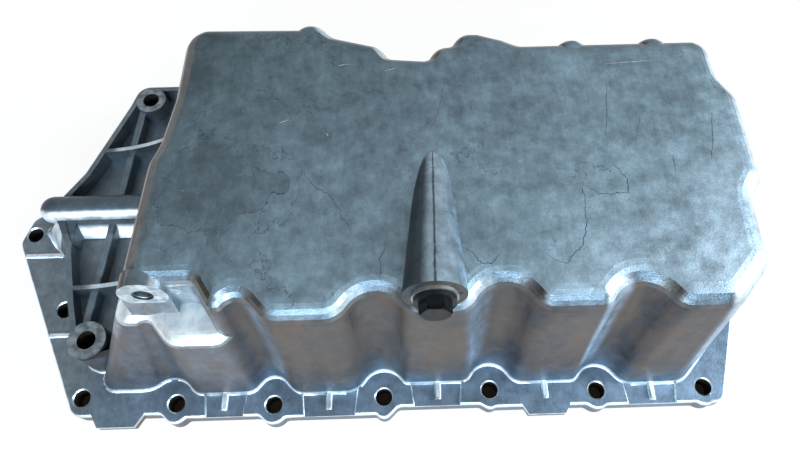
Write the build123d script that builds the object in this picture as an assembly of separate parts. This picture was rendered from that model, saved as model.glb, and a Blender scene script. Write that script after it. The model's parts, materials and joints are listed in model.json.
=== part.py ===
"""Engine oil pan: a die-cast aluminium sump, with its steel drain plug and sealing washer.

The pan lies on its joint face with the sump upwards, as it does on a bench.
Sizes are in millimetres. While it is built, X runs along the engine from the gearbox
end (-X), y = 0 is the line of the front bolts and z = 0 is the joint face.
Every part is moved at the end, so that the origin lies under the middle of the casting.
"""
import os
from math import acos, atan2, cos, degrees, pi, radians, sin, sqrt, tan

from build123d import *

OVERLAP = 1.0  # a shape that cuts or joins another reaches this far past its face

# ---------------------------------------------------------------- flange
FLANGE = 12.0  # thickness at the bolt pads
PAD_STEP = 1.2  # a pad stands this far above the flange between the pads
LOW_BAY_FRONT = -20.0  # clear of the flange's front edge
LOW_BAY_BACK = 22.0  # under the sump
LOW_BAY_NARROW = 3.0  # a low bay is narrower by this at each side of its front
LOW_BAY_WIDE = 2.0  # and wider by this at each side of its back
FLANGE_ROUND = 1.6  # along the outer upper edge
BOLT_HOLE = 9.5
BOLT_CHAMFER = 0.7
BOLT_LAND = 9.8  # radius of the flange's outline about a bolt
LAND_BLEND = 5.0
LAND_CORNER = 4.5  # radius where a bolt's bulge meets the straight edge
LEAST_BULGE = 0.5
MOUTH_LIMIT = 15.0  # largest radius where a flute opens into the wall beside it
LUG_THICKNESS = 6.5
LUG_REACH = 12.0  # from the bolt line to the lug's front
LUG_SLOPE = 5.0
LUG_ROOT = -4.0

# ---------------------------------------------------------------- sump
SUMP_HEIGHT = 120.0  # joint face to the flat sump bottom
SUMP_ROUND = 10.0  # height of the rolled edge between the walls and the sump bottom
WALL = 4.5
BOTTOM_WALL = 6.0
INNER_ROUND = 6.0
ROUND_STEPS = 6
LEAST_RADIUS = 0.4
ROUND_SHARE = 0.96  # of the length between two corners, the most that their radii take up
LEDGE_HEIGHT = 89.0  # the lower corner in front of the side port
LEDGE_ROUND = 7.0
LEDGE_INNER_ROUND = 3.0
LEDGE_LEFT_DRAFT = 42.5
LEDGE_BACK = 60.0  # the ledge ends here, inside the sump
LEDGE_OVERLAP = 0.5
COLUMN_RADIUS = 11.0  # round columns on the back wall
COLUMN_PROUD = 4.0
COLUMN_TOP = 119.4
COLUMN_SINK = 2.0  # a column starts this far inside the flange

# Draft of each wall: how far its foot stands outside its shoulder.
RIGHT_DRAFT = 10.6
BACK_DRAFT = 12.0
BACK_LEFT_DRAFT = 7.0
LEFT_DRAFT = 38.0
RISER_DRAFT = 2.5
BANK_DRAFT = 9.0

# ---------------------------------------------------------------- gearbox-end shelf
SHELF_FLOOR = 27.0
SHELF_RIM = 38.0
RIM_WALL = 3.2
LOWER_RIM_WALL = 12.2  # from the rim's outside to the hollow under the shelf
SHELF_PLATE = 5.0
RIB_WALL = 2.6
RIB_SAG = 0.34  # share of its climb that a rib has made half way along
RIB_LEAN = 3.0
WALL_ROUND_SHARE = 0.35  # radius along a wall's top, as a share of its thickness
SPINE_WALL = 5.0
SPINE_TOP = 36.0
GEARBOX_HOLE = 10.5
GEARBOX_BOSS_TOP = 39.0
TUBE_RADIUS = 8.3
TUBE_AXIS = 37.0

# ---------------------------------------------------------------- drain
DRAIN_X = 9.7
DRAIN_FACE_Y = 19.6
DRAIN_FACE_Z = 128.0
DRAIN_TILT = 4.7  # degrees that the plug looks up
DRAIN_BOSS = 29.6
DRAIN_BOSS_LENGTH = 80.0
DRAIN_BOSS_END = 16.0
DRAIN_BOSS_FALL = 16.0
DRAIN_BOSS_SKEW = 2.3  # the boss's far end lies this much to the right
DRAIN_THREAD = 14.0
SPOT_FACE_REACH = 12.0  # the face is machined clear this far outwards
DRAIN_HOLE_DEPTH = 24.0
CHANNEL_LAP = 6.0  # the oil channel starts this far before the end of the drain hole
CHANNEL_WIDTH = 15.0
CHANNEL_END_WIDTH = 4.0
CHANNEL_SHARE = 0.8  # of the boss's length
CHANNEL_ROOM = 200.0  # larger than the boss each way
CHANNEL_STEP = 4.0  # the trench reaches this far into the cavity
THREAD_CLEARANCE = 0.05  # on the radius, between the plug's shank and its hole
PLUG_SHANK = 16.0
PLUG_COLLAR = 19.5
PLUG_COLLAR_THICKNESS = 2.2
PLUG_HEX = 13.0  # across flats
PLUG_HEX_LENGTH = 5.6
PLUG_HEX_CHAMFER = 0.8
PLUG_TIP_CHAMFER = 1.0
WASHER = 21.5
WASHER_THICKNESS = 1.5
WASHER_CLEARANCE = 0.1

# ---------------------------------------------------------------- side port
PORT_X = -127.3
PORT_Z = 107.5
PORT_TILT = 4.5  # degrees that the port looks up
PORT_THREAD = 10.0
PORT_FACE = 23.5
PORT_PROUD = 2.6
PORT_ROOT = 6.0  # the machined face's boss is sunk this far into the wall
PORT_DEPTH = 18.0
PORT_BACKING = 16.0  # round boss inside the sump that carries the thread
PORT_BREAK = 8.0  # the hole runs this far on into the sump
TOWER_FOOT_Y = 27.6
TOWER_TOP_Y = 31.8
TOWER_BACK = 36.0
TOWER_SINK = 4.0  # the block reaches this far into the ledge

# ---------------------------------------------------------------- ticks on the flange
TICK_WIDTH = 2.2
TICK_LENGTH = 8.5
TICK_RISE = 1.3
TICK_SINK = 4.0  # a tick runs this far into the sump wall
TICK_DEPTH = 2.0  # and this far below the low bay

SHOULDER = SUMP_HEIGHT - SUMP_ROUND
DRAFT_HEIGHT = SHOULDER - FLANGE

# ---------------------------------------------------------------- layout along the front
# Front bolts: x and y of the hole, and y of the flange's edge to the right of it.
FRONT_BOLTS = [
    (-192.5, 4.7, -5.6),
    (-137.5, 0.0, -8.0),
    (-81.5, -2.3, -9.4),
    (-18.3, 0.0, -5.6),
    (43.0, 2.2, -7.4),
    (105.0, 0.0, -8.2),
    (167.5, 0.0, -8.6),
]
END_BOLTS = [(-214.1, 58.2), (-244.3, 109.8), (193.5, 60.0), (193.5, 152.0)]
BACK_BOLT_X = [-43.0, 19.0, 81.0, 143.0]
BACK_BOLT_Y = 199.5
BACK_EDGE = 207.0
BACK_CORNER_BOLT = (-105.0, 204.5)

LUGS = [(-180.9, -159.8), (64.6, 85.7)]
LOW_BAYS = [(-122.0, -97.0), (-66.0, -33.0), (-2.7, 27.0), (120.5, 152.0)]
TICKS = [(-110.0, 4.8), (-50.0, 3.4), (13.0, 7.3), (75.0, 5.8), (137.0, 3.2)]

# Wall between two flutes: y at the flange and at the shoulder.
BAYS = [(7.8, 29.4), (4.8, 13.8), (3.4, 12.6), (7.3, 14.5), (5.8, 15.5), (3.2, 14.0)]

# Flutes that clear the bolts: x, y of the floor and radius, each at the flange and at the
# shoulder, and the angles of the flute's left and right sides.
FLUTES = [
    (-137.5, -131.2, 13.3, 29.4, 14.0, 1.4, 35.0, 50.0),
    (-81.5, -81.4, 11.9, 22.0, 12.5, 11.5, 49.0, 49.0),
    (-18.3, -17.5, 14.8, 25.2, 14.0, 15.0, 53.8, 53.8),
    (43.0, 42.9, 16.4, 27.8, 14.0, 15.0, 56.0, 56.0),
    (105.0, 106.6, 14.1, 25.8, 13.5, 15.0, 54.5, 54.5),
]

# Shoulder of the sump from the front right corner round to the left: x, y, the radius of
# the corner and the draft of the wall that starts there.
REST_OF_SHOULDER = [
    (150.2, 14.0, 14.0, RIGHT_DRAFT),
    (169.6, 34.5, 14.0, RIGHT_DRAFT),
    (171.0, 70.0, 12.0, RIGHT_DRAFT),
    (178.5, 80.5, 12.0, RIGHT_DRAFT),
    (178.7, 131.0, 12.0, RIGHT_DRAFT),
    (171.3, 144.5, 12.0, RIGHT_DRAFT),
    (170.4, 171.7, 11.0, BACK_DRAFT),
    (64.0, 171.5, 8.0, BACK_DRAFT),
    (56.0, 175.8, 8.0, BACK_DRAFT),
    (41.0, 181.0, 10.0, BACK_DRAFT),
    (30.5, 181.3, 10.0, BACK_DRAFT),
    (25.2, 172.2, 3.5, BACK_DRAFT),
    (16.6, 171.7, 10.6, BACK_DRAFT),
    (11.5, 162.5, 3.5, BACK_DRAFT),
    (-9.0, 164.5, 3.5, BACK_DRAFT),
    (-14.5, 173.0, 10.8, BACK_DRAFT),
    (-40.0, 180.5, 3.5, BACK_DRAFT),
    (-47.0, 186.8, 11.0, BACK_LEFT_DRAFT),
    (-125.5, 188.3, 13.0, LEFT_DRAFT),
    (-126.5, 141.0, 40.0, LEFT_DRAFT),
    (-130.5, 113.0, 20.0, LEFT_DRAFT),
    (-135.0, 100.0, 20.0, LEFT_DRAFT),
]
RISER_Y = 33.6
RISER_LEFT = (-138.2, RISER_Y)
BANK_FOOT = (-103.5, RISER_Y)
BANK_ANGLE = -57.0
NOSE_RADIUS = 8.0

# Columns: x, y of the wall behind and its draft.
COLUMNS = [
    (-54.5, 186.8, BACK_LEFT_DRAFT),
    (93.9, 171.5, BACK_DRAFT),
    (139.5, 171.5, BACK_DRAFT),
]

# Outer side of the shelf's rim: x, y and the radius of the corner.
SHELF_RIM_LINE = [
    (-136.0, 30.0, 1.0),
    (-188.0, 18.0, 8.0),
    (-199.0, 52.0, 20.0),
    (-209.0, 90.8, 8.0),
    (-216.5, 107.0, 4.0),
    (-217.5, 123.0, 4.0),
    (-206.5, 140.0, 4.0),
    (-202.3, 151.0, 3.0),
    (-186.9, 191.5, 8.0),
    (-182.5, 207.0, 9.0),
    (-136.0, 207.0, 1.0),
]
# Bosses for the gearbox bolts: x, y and diameter.
GEARBOX_BOSSES = [(-173.8, 195.6, 19.6), (-183.7, 30.9, 21.6)]
SPINE = [(-179.4, 188.0), (-183.4, 116.0), (-187.8, 40.0)]
# Ribs: y, left end, right end and how far the rib climbs.
RIBS = [(156.5, -199.0, -150.0, 15.0), (62.5, -200.0, -160.0, 9.5)]
TUBE_LEFT = -220.5
TUBE_RIGHT = -146.0
TUBE_Y = 114.6
TUBE_SPREAD = 4.0  # how much wider the ridge's body is at each side of its foot
WING_RIBS = [(94.8, -246.0, -219.0), (42.2, -219.0, -204.0)]
WING_RIB_WIDTH = 1.6

# Gusset between the ridge's end and the flange: corners at the flange and at the rim.
GUSSET_FOOT = [(-236.0, 115.0), (-236.0, 111.0), (-222.8, 94.1), (-200.0, 94.1), (-200.0, 115.0)]
GUSSET_TOP = [(-218.0, 115.0), (-218.0, 107.5), (-209.5, 91.0), (-206.0, 91.0), (-206.0, 115.0)]

# Corners of the flange at its right and left ends: x, y and radius.
RIGHT_END = [(177.6, -8.6, 6.0), (202.2, 62.0, 25.0), (204.0, BACK_EDGE, 12.0)]
FLANGE_LEFT = [
    (-190.5, 209.0, 12.0),
    (-201.0, 166.0, 20.0),
    (-224.0, 133.0, 14.0),
    (-247.5, 121.5, 8.0),
    (-252.8, 104.0, 8.0),
    (-196.3, -5.6, 9.0),
]


def side(x, y, angle, draft, foot_radius, shoulder_radius):
    """One wall of a drafted outline: a line through (x, y) at the shoulder. The radii are
    those of the corner where the wall starts."""
    return x, y, radians(angle), draft, foot_radius, shoulder_radius


def bay(index, foot_radius, shoulder_radius):
    """The wall between two flutes."""
    foot, shoulder = BAYS[index]
    return side(0, shoulder, 0, shoulder - foot, foot_radius, shoulder_radius)


def mouth_radius(depth, angle, floor_radius):
    """Radius of a flute's mouth that just meets the radius of its floor."""
    room = depth / (1 - cos(angle)) - floor_radius
    return min(MOUTH_LIMIT, max(LEAST_RADIUS, ROUND_SHARE * room))


def flute(index):
    """The two walls of a flute, and the bay to the right of it."""
    x_foot, x_top, floor_foot, floor_top, r_foot, r_top, left_angle, right_angle = FLUTES[index]
    # both sides pass through one point behind the rounded floor
    turn = radians(left_angle + right_angle) / 2
    apex_shift = 1 / cos(turn) - 1
    apex_foot = floor_foot + r_foot * apex_shift
    apex_top = floor_top + r_top * apex_shift
    sides = []
    for way, angle, beside in ((1, left_angle, BAYS[index]), (-1, right_angle, BAYS[index + 1])):
        lean = radians(angle)
        draft = way * (x_foot - x_top) * sin(lean) - (apex_foot - apex_top) * cos(lean)
        mouth = (
            mouth_radius(floor_foot - beside[0], lean, r_foot),
            mouth_radius(floor_top - beside[1], lean, r_top),
        )
        sides.append((way * angle, draft, mouth))
    (left, left_draft, left_mouth), (right, right_draft, right_mouth) = sides
    return [
        side(x_top, apex_top, left, left_draft, *left_mouth),
        side(x_top, apex_top, right, right_draft, r_foot, r_top),
        bay(index + 1, *right_mouth),
    ]


def chain(points, last_point):
    """Walls from one shoulder point to the next."""
    walls = []
    ends = [(x, y) for x, y, _, _ in points[1:]] + [last_point]
    for (x, y, radius, draft), (next_x, next_y) in zip(points, ends):
        angle = degrees(atan2(next_y - y, next_x - x))
        walls.append(side(x, y, angle, draft, radius, radius))
    return walls


def sump_walls():
    """The whole sump, with its front left corner set back behind the side port."""
    riser = side(*RISER_LEFT, 0, RISER_DRAFT, 11, 11)
    bank = side(*BANK_FOOT, BANK_ANGLE, BANK_DRAFT, 3.5, 3.5)
    first = flute(1)
    nose = side(*first[0][:2], FLUTES[1][6], first[0][3], NOSE_RADIUS, NOSE_RADIUS)
    walls = [riser, bank, nose] + first[1:]
    for index in (2, 3, 4):
        walls += flute(index)
    return walls + chain(REST_OF_SHOULDER, RISER_LEFT)


def ledge_walls():
    """The lower corner in front of the side port."""
    left = chain([REST_OF_SHOULDER[-1]], RISER_LEFT)[0]
    inside_x = FLUTES[1][1] - LEDGE_OVERLAP
    return [
        bay(0, 8, 9),
        *flute(0),
        flute(1)[0],
        side(inside_x, LEDGE_BACK, 90, 0, 1, 1),
        side(inside_x, LEDGE_BACK, 180, 0, 1, 1),
        side(*left[:2], degrees(left[2]), LEDGE_LEFT_DRAFT, 1, 1),
    ]


def rolled_inset(draft, height, roll):
    """How far a wall has rolled inwards at a height above its shoulder."""
    lean = atan2(draft, DRAFT_HEIGHT)
    radius = roll / (1 - sin(lean))
    sine = min(1.0, sin(lean) + height / radius)
    return radius * (cos(lean) - sqrt(1 - sine * sine))


def outline(walls, z, shoulder, roll, inset):
    """Closed wire of the walls at one height, with rounded corners."""
    drafted_z = min(z, shoulder)
    lines = []
    for x, y, angle, draft, _, _ in walls:
        along = Vector(cos(angle), sin(angle))
        outward = Vector(sin(angle), -cos(angle))
        inward = inset
        if z > shoulder:
            inward += rolled_inset(draft, z - shoulder, roll)
        out = draft * (SHOULDER - drafted_z) / DRAFT_HEIGHT - inward
        lines.append((Vector(x, y) + outward * out, along, inward))

    corners = []
    radii = []
    share = (drafted_z - FLANGE) / DRAFT_HEIGHT
    for index, wall in enumerate(walls):
        before, before_along, before_in = lines[index - 1]
        start, along, inward = lines[index]
        cross = before_along.X * along.Y - before_along.Y * along.X
        gap = start - before
        reach = (gap.X * along.Y - gap.Y * along.X) / cross
        corner = before + before_along * reach
        corners.append(Vector(corner.X, corner.Y, z))
        radius = wall[4] + (wall[5] - wall[4]) * share
        change = (before_in + inward) / 2
        radii.append(max(LEAST_RADIUS, radius - change if cross > 0 else radius + change))
    return rounded(corners, radii)


def rounded(corners, radii):
    """Closed wire through corners; a radius gives way where its walls are too short."""
    count = len(corners)
    halves = []
    for index in range(count):
        back = (corners[index - 1] - corners[index]).normalized()
        ahead = (corners[(index + 1) % count] - corners[index]).normalized()
        halves.append((pi - acos(max(-1.0, min(1.0, back.dot(ahead))))) / 2)
    tangents = [radius * tan(half) for radius, half in zip(radii, halves)]
    arcs = []
    for index in range(count):
        corner = corners[index]
        following = (index + 1) % count
        cut = tangents[index]
        for other in (index - 1, following):
            room = ROUND_SHARE * (corners[other] - corner).length
            wanted = tangents[index] + tangents[other]
            if wanted > room:
                cut = min(cut, room * tangents[index] / wanted)
        back = (corners[index - 1] - corner).normalized()
        ahead = (corners[following] - corner).normalized()
        radius = cut / tan(halves[index])
        depth = radius / cos(halves[index]) - radius
        middle = corner + (back + ahead).normalized() * depth
        arcs.append((corner + back * cut, middle, corner + ahead * cut))
    edges = []
    for index, (start, middle, end) in enumerate(arcs):
        edges.append(Edge.make_three_point_arc(start, middle, end))
        edges.append(Edge.make_line(end, arcs[(index + 1) % count][0]))
    return Wire(edges)


def drafted_body(walls, bottom, shoulder, roll, inset=0.0):
    """Solid between drafted walls, rolled over to a flat top."""
    heights = [bottom, shoulder]
    heights += [shoulder + roll * sin(pi / 2 * step / ROUND_STEPS) for step in range(1, ROUND_STEPS)]
    heights.append(shoulder + roll)
    wires = [outline(walls, z, shoulder, roll, inset) for z in heights]
    return Solid.make_loft(wires, ruled=True)


def rounded_prism(points, bottom, top):
    """Upright prism over points given as x, y and corner radius."""
    corners = [Vector(x, y, bottom) for x, y, _ in points]
    base = Face(rounded(corners, [radius for _, _, radius in points]))
    return extrude(base, top - bottom, dir=(0, 0, 1))


def polygon_prism(points, bottom, top):
    """Upright prism over straight-sided points."""
    return Pos(0, 0, bottom) * extrude(make_face(Polyline(*points, close=True)), top - bottom)


def land(x, y, before, after, outward):
    """Corners of the flange's edge as it bulges about a bolt, along the way it runs."""
    reach = outward * y + BOLT_LAND
    edge = min(outward * before, outward * after)
    depth = max(LEAST_BULGE, reach - edge)
    turn = acos(1 - depth / (BOLT_LAND + LAND_BLEND))
    apex = outward * (outward * y + BOLT_LAND / cos(turn))
    corners = [(x, apex, BOLT_LAND)]
    for way, level in ((-1, before), (1, after)):
        spread = abs(apex - level) / tan(turn)
        corner = (x - way * outward * spread, level, LAND_CORNER)
        corners.insert(0 if way < 0 else 2, corner)
    return corners


def flange_outline():
    """Corners of the flange, counter-clockwise from the front left."""
    corners = []
    for (_, _, before), (x, y, after) in zip(FRONT_BOLTS, FRONT_BOLTS[1:]):
        corners += land(x, y, before, after, -1)
    corners += RIGHT_END
    for x in BACK_BOLT_X[::-1]:
        corners += land(x, BACK_BOLT_Y, BACK_EDGE, BACK_EDGE, 1)
    corners += land(*BACK_CORNER_BOLT, BACK_EDGE, FLANGE_LEFT[0][1], 1)
    return corners + FLANGE_LEFT


def flange():
    """The flange with its pads, lugs and rounded upper edge."""
    plate = rounded_prism(flange_outline(), 0, FLANGE)
    rim = plate.faces().sort_by(Axis.Z)[-1].edges()
    plate = fillet(rim, FLANGE_ROUND)
    for left, right in LUGS:
        lug = [
            (left - LUG_SLOPE, LUG_ROOT),
            (left, -LUG_REACH),
            (right, -LUG_REACH),
            (right + LUG_SLOPE, LUG_ROOT),
        ]
        plate += polygon_prism(lug, FLANGE - LUG_THICKNESS, FLANGE)
    for left, right in LOW_BAYS:
        bay_cut = [
            (left + LOW_BAY_NARROW, LOW_BAY_FRONT),
            (right - LOW_BAY_NARROW, LOW_BAY_FRONT),
            (right + LOW_BAY_WIDE, LOW_BAY_BACK),
            (left - LOW_BAY_WIDE, LOW_BAY_BACK),
        ]
        plate -= polygon_prism(bay_cut, FLANGE - PAD_STEP, FLANGE + OVERLAP)
    return plate


def shelf():
    """The ribbed shelf at the gearbox end, with its rim, bosses and half-round ridge."""
    block = rounded_prism(shelf_line(0), 0, SHELF_RIM)
    block -= rounded_prism(shelf_line(RIM_WALL), SHELF_FLOOR, SHELF_RIM + OVERLAP)
    for start, end in zip(SPINE, SPINE[1:]):
        block += wall_between(start, end, SPINE_WALL, SHELF_FLOOR - OVERLAP, SPINE_TOP)
    for rib in RIBS:
        block += shelf_rib(*rib)
    block += shelf_tube()
    block += gusset()
    for x, y, diameter in GEARBOX_BOSSES:
        block += Pos(x, y, 0) * upright_cylinder(diameter / 2, GEARBOX_BOSS_TOP)
    return block


def shelf_line(inset):
    """Corners of the shelf's rim, moved inwards; its right end lies inside the sump."""
    count = len(SHELF_RIM_LINE)
    points = [Vector(x, y) for x, y, _ in SHELF_RIM_LINE]
    moved = []
    for index, (_, _, radius) in enumerate(SHELF_RIM_LINE):
        back = (points[index] - points[index - 1]).normalized()
        ahead = (points[(index + 1) % count] - points[index]).normalized()
        # the line runs clockwise, so its inner side is to the right
        inner_back = Vector(back.Y, -back.X)
        inner_ahead = Vector(ahead.Y, -ahead.X)
        shift = (inner_back + inner_ahead) * (inset / (1 + inner_back.dot(inner_ahead)))
        corner = points[index] + shift
        turn = back.X * ahead.Y - back.Y * ahead.X
        size = radius - inset if turn < 0 else radius + inset
        moved.append((corner.X, corner.Y, max(LEAST_RADIUS, size)))
    return moved


def wall_between(start, end, thickness, bottom, top):
    """An upright wall along a straight line, with round ends and a rounded top."""
    (x0, y0), (x1, y1) = start, end
    length = sqrt((x1 - x0) ** 2 + (y1 - y0) ** 2)
    slot = SlotCenterToCenter(length, thickness)
    angle = degrees(atan2(y1 - y0, x1 - x0))
    wall = extrude(slot, top - bottom)
    rim = wall.faces().sort_by(Axis.Z)[-1].edges()
    wall = fillet(rim, thickness * WALL_ROUND_SHARE)
    return Pos((x0 + x1) / 2, (y0 + y1) / 2, bottom) * Rot(0, 0, angle) * wall


def shelf_rib(y, left, right, climb):
    """A thin rib with a hollow top that climbs from the rim to the sump wall."""
    foot = SHELF_FLOOR - OVERLAP
    low = (left, SHELF_RIM)
    middle = ((left + right) / 2 + RIB_LEAN, SHELF_RIM + climb * RIB_SAG)
    high = (right, SHELF_RIM + climb)
    with BuildSketch(Plane.XZ) as profile:
        with BuildLine():
            Line((left, foot), low)
            ThreePointArc(low, middle, high)
            Polyline(high, (right, foot), (left, foot))
        make_face()
    return Pos(0, y, 0) * extrude(profile.sketch, RIB_WALL / 2, both=True)


def shelf_tube():
    """The half-round ridge across the shelf, on its body and its web."""
    length = TUBE_RIGHT - TUBE_LEFT
    lying = Rot(0, 90, 0) * Cylinder(TUBE_RADIUS, length)
    tube = Pos((TUBE_LEFT + TUBE_RIGHT) / 2, TUBE_Y, TUBE_AXIS) * lying
    tube += Pos(TUBE_LEFT, TUBE_Y, TUBE_AXIS) * Sphere(TUBE_RADIUS)
    rim = SHELF_RIM_LINE[4][0] + OVERLAP
    foot = TUBE_RADIUS + TUBE_SPREAD
    profile = [
        (TUBE_Y - foot, SHELF_FLOOR - OVERLAP),
        (TUBE_Y + foot, SHELF_FLOOR - OVERLAP),
        (TUBE_Y + TUBE_RADIUS, TUBE_AXIS),
        (TUBE_Y - TUBE_RADIUS, TUBE_AXIS),
    ]
    side_view = Plane(origin=(rim, 0, 0), x_dir=(0, 1, 0), z_dir=(1, 0, 0))
    tube += extrude(side_view * make_face(Polyline(*profile, close=True)), TUBE_RIGHT - rim)
    return tube


def gusset():
    """The sloping web from the end of the ridge down to the flange."""
    foot = Wire.make_polygon([(x, y, FLANGE - OVERLAP) for x, y in GUSSET_FOOT])
    top = Wire.make_polygon([(x, y, TUBE_AXIS) for x, y in GUSSET_TOP])
    return Solid.make_loft([foot, top], ruled=True)


def upright_cylinder(radius, height):
    """A cylinder that stands on z = 0."""
    return Cylinder(radius, height, align=(Align.CENTER, Align.CENTER, Align.MIN))


def back_column(x, wall_y, draft):
    """A round column on the back wall that ends in a dome below the sump bottom."""
    centre_y = wall_y - COLUMN_RADIUS + COLUMN_PROUD
    height = COLUMN_TOP - COLUMN_RADIUS - FLANGE + COLUMN_SINK
    shift = draft / DRAFT_HEIGHT * height
    foot = Vector(x, centre_y + shift, FLANGE - COLUMN_SINK)
    top = Vector(x, centre_y, COLUMN_TOP - COLUMN_RADIUS)
    axis = top - foot
    plane = Plane(origin=foot, z_dir=axis)
    column = plane * upright_cylinder(COLUMN_RADIUS, axis.length)
    return column + Pos(*top) * Sphere(COLUMN_RADIUS)


def drain_plane():
    """Plane on the drain boss's face; its normal looks out along the plug."""
    tilt = radians(DRAIN_TILT)
    return Plane(
        origin=(DRAIN_X, DRAIN_FACE_Y, DRAIN_FACE_Z),
        x_dir=(1, 0, 0),
        z_dir=(0, -cos(tilt), sin(tilt)),
    )


def drain_cone(wall):
    """The boss's cone, from the face to where it sinks into the sump bottom, less a wall."""
    near = drain_plane() * Circle(DRAIN_BOSS / 2 - wall)
    far_x = DRAIN_X + DRAIN_BOSS_SKEW
    far_y = DRAIN_FACE_Y + DRAIN_BOSS_LENGTH
    far_z = DRAIN_FACE_Z - DRAIN_BOSS_FALL
    far_plane = Plane(origin=(far_x, far_y, far_z), x_dir=(1, 0, 0), z_dir=(0, -1, 0))
    far = far_plane * Circle(DRAIN_BOSS_END / 2 - wall)
    return loft([near, far])


def drain_channel():
    """Hollow that leads oil from the sump into the drain hole."""
    start = DRAIN_FACE_Y + DRAIN_HOLE_DEPTH - CHANNEL_LAP
    end = DRAIN_FACE_Y + DRAIN_BOSS_LENGTH * CHANNEL_SHARE
    align = (Align.CENTER, Align.MIN, Align.CENTER)
    room = Box(CHANNEL_ROOM, CHANNEL_ROOM, CHANNEL_ROOM, align=align)
    cone = drain_cone(WALL) & Pos(DRAIN_X, start, DRAIN_FACE_Z) * room
    trench = [
        (DRAIN_X - CHANNEL_WIDTH / 2, start),
        (DRAIN_X + CHANNEL_WIDTH / 2, start),
        (DRAIN_X + CHANNEL_END_WIDTH, end),
        (DRAIN_X, end),
    ]
    bottom = SUMP_HEIGHT - BOTTOM_WALL - CHANNEL_STEP
    return cone + polygon_prism(trench, bottom, SUMP_HEIGHT - OVERLAP)


def port_plane():
    """Plane on the side port's machined face; its normal looks out of the hole."""
    tilt = radians(PORT_TILT)
    riser_y = RISER_Y + (PORT_Z - SHOULDER) * RISER_DRAFT / DRAFT_HEIGHT
    wall = Plane(
        origin=(PORT_X, riser_y, PORT_Z),
        x_dir=(1, 0, 0),
        z_dir=(0, -cos(tilt), sin(tilt)),
    )
    return wall.offset(PORT_PROUD)


def port_tower():
    """The upright block below the side port, down to the ledge."""
    profile = [
        (TOWER_FOOT_Y, LEDGE_HEIGHT - TOWER_SINK),
        (TOWER_TOP_Y, PORT_Z),
        (TOWER_BACK, PORT_Z),
        (TOWER_BACK, LEDGE_HEIGHT - TOWER_SINK),
    ]
    side_view = Plane(origin=(PORT_X - PORT_FACE / 2, 0, 0), x_dir=(0, 1, 0), z_dir=(1, 0, 0))
    return extrude(side_view * make_face(Polyline(*profile, close=True)), PORT_FACE)


def cavity():
    """The oil space, open at the joint face."""
    bottom = SUMP_HEIGHT - BOTTOM_WALL
    shoulder = bottom - INNER_ROUND
    space = drafted_body(sump_walls(), -OVERLAP, shoulder, INNER_ROUND, WALL)
    shoulder = LEDGE_HEIGHT - WALL - LEDGE_INNER_ROUND
    space += drafted_body(ledge_walls(), -OVERLAP, shoulder, LEDGE_INNER_ROUND, WALL)
    below_shelf = SHELF_FLOOR - SHELF_PLATE
    space += rounded_prism(shelf_line(LOWER_RIM_WALL), -OVERLAP, below_shelf)
    for x, y, diameter in GEARBOX_BOSSES:
        space -= Pos(x, y, -2 * OVERLAP) * upright_cylinder(diameter / 2, SHELF_RIM)
    space -= sunk_cylinder(port_plane(), PORT_BACKING, PORT_DEPTH)
    return space + drain_channel()


def bolt_holes():
    """Every flange bolt's hole, with its chamfer at both faces."""
    places = [(x, y) for x, y, _ in FRONT_BOLTS] + END_BOLTS
    places += [(x, BACK_BOLT_Y) for x in BACK_BOLT_X] + [BACK_CORNER_BOLT]
    radius = BOLT_HOLE / 2
    depth = BOLT_CHAMFER + OVERLAP
    sink = Cone(radius, radius + depth, depth, align=(Align.CENTER, Align.CENTER, Align.MIN))
    hole = Pos(0, 0, -OVERLAP) * upright_cylinder(radius, FLANGE + 2 * OVERLAP)
    hole += Pos(0, 0, FLANGE - BOLT_CHAMFER) * sink
    return [Pos(x, y, 0) * hole for x, y in places]


def sunk_cylinder(plane, diameter, depth, proud=0.0):
    """A round post or hole from a depth below a plane to a little above it."""
    return plane * Pos(0, 0, -depth) * upright_cylinder(diameter / 2, depth + proud)


def flange_details():
    """The ticks in front of the bays and the low ribs on the wing."""
    details = []
    tick_height = TICK_RISE + PAD_STEP + TICK_DEPTH
    align = (Align.CENTER, Align.MIN, Align.MAX)
    tick = Box(TICK_WIDTH, TICK_LENGTH + TICK_SINK, tick_height, align=align)
    for x, foot_y in TICKS:
        details.append(Pos(x, foot_y - TICK_LENGTH, FLANGE + TICK_RISE) * tick)
    for y, left, right in WING_RIBS:
        rib = Box(right - left, WING_RIB_WIDTH, 2 * TICK_RISE)
        details.append(Pos((left + right) / 2, y, FLANGE) * rib)
    return details


def oil_pan():
    """The casting."""
    pan = flange() + shelf()
    pan += drafted_body(sump_walls(), FLANGE / 2, SHOULDER, SUMP_ROUND)
    pan += drafted_body(ledge_walls(), FLANGE / 2, LEDGE_HEIGHT - LEDGE_ROUND, LEDGE_ROUND)
    pan += drain_cone(0)
    pan += sunk_cylinder(port_plane(), PORT_FACE, PORT_PROUD + PORT_ROOT)
    pan += port_tower()
    for column in COLUMNS:
        pan += back_column(*column)
    for detail in flange_details():
        pan += detail
    pan -= cavity()
    pan -= bolt_holes()
    for x, y, _ in GEARBOX_BOSSES:
        top = Plane(origin=(x, y, GEARBOX_BOSS_TOP))
        pan -= sunk_cylinder(top, GEARBOX_HOLE, GEARBOX_BOSS_TOP + OVERLAP, OVERLAP)
    pan -= sunk_cylinder(drain_plane(), DRAIN_BOSS, 0, SPOT_FACE_REACH)
    pan -= sunk_cylinder(drain_plane(), DRAIN_THREAD, DRAIN_HOLE_DEPTH, OVERLAP)
    pan -= sunk_cylinder(port_plane(), PORT_THREAD, PORT_DEPTH + PORT_BREAK, OVERLAP)
    return pan


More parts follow.
